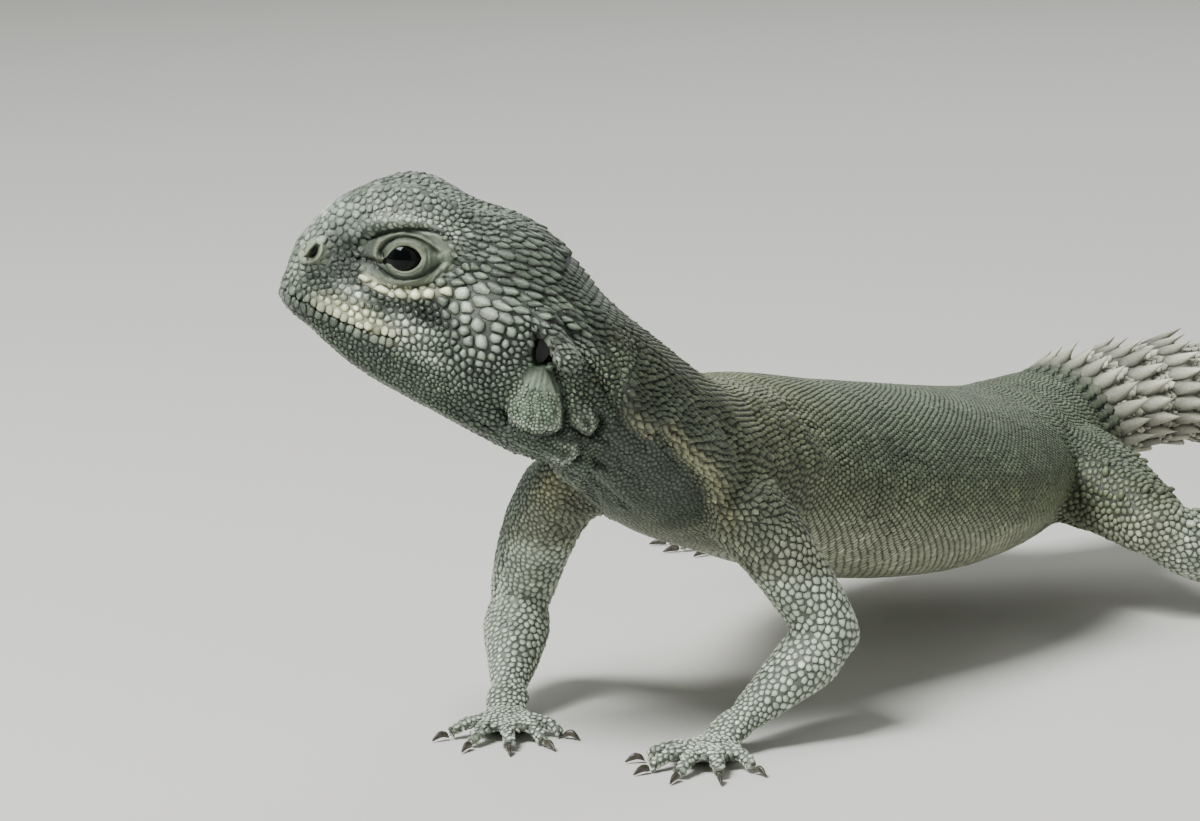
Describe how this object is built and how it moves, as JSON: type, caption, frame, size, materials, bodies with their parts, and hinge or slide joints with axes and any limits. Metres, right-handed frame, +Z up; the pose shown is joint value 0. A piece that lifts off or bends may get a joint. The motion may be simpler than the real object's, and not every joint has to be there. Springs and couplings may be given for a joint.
{
  "type": "uromastyx lizard model",
  "caption": "Life-size still model of a spiny-tailed desert lizard, head raised, standing on splayed legs with its ringed spiny tail curved to one side.",
  "frame": {"origin": "middle of the model's outline on the floor it stands on", "axes": "+Z up, -X the way the head looks, +X the way the tail points"},
  "size_m": [0.2448, 0.1634, 0.0769],
  "materials": {
    "scaly_skin": "dry matte scales",
    "spiny_tail": "dry horny spines",
    "claw_horn": "dark satin horn",
    "dark_eye": "wet gloss",
    "ear_drum": "thin smooth skin"
  },
  "bodies": {
    "root": {"head": "scaly_skin", "neck": "scaly_skin", "chest": "scaly_skin", "belly": "scaly_skin", "eye_left": "dark_eye", "eye_right": "dark_eye", "ear_left": "ear_drum", "ear_right": "ear_drum", "upper_arm_left": "scaly_skin", "upper_arm_right": "scaly_skin", "forearm_left": "scaly_skin", "forearm_right": "scaly_skin", "hand_left": "scaly_skin", "hand_right": "scaly_skin", "thigh_left": "scaly_skin", "thigh_right": "scaly_skin", "shin_left": "scaly_skin", "shin_right": "scaly_skin", "foot_left": "scaly_skin", "foot_right": "scaly_skin", "tail_1": "spiny_tail", "tail_2": "spiny_tail", "tail_3": "spiny_tail", "tail_4": "spiny_tail", "hand_left_claw_1": "claw_horn", "hand_left_claw_2": "claw_horn", "hand_left_claw_3": "claw_horn", "hand_left_claw_4": "claw_horn", "hand_left_claw_5": "claw_horn", "hand_right_claw_1": "claw_horn", "hand_right_claw_2": "claw_horn", "hand_right_claw_3": "claw_horn", "hand_right_claw_4": "claw_horn", "hand_right_claw_5": "claw_horn", "foot_left_claw_1": "claw_horn", "foot_left_claw_2": "claw_horn", "foot_left_claw_3": "claw_horn", "foot_left_claw_4": "claw_horn", "foot_left_claw_5": "claw_horn", "foot_right_claw_1": "claw_horn", "foot_right_claw_2": "claw_horn", "foot_right_claw_3": "claw_horn", "foot_right_claw_4": "claw_horn", "foot_right_claw_5": "claw_horn"}
  },
  "joints": []
}
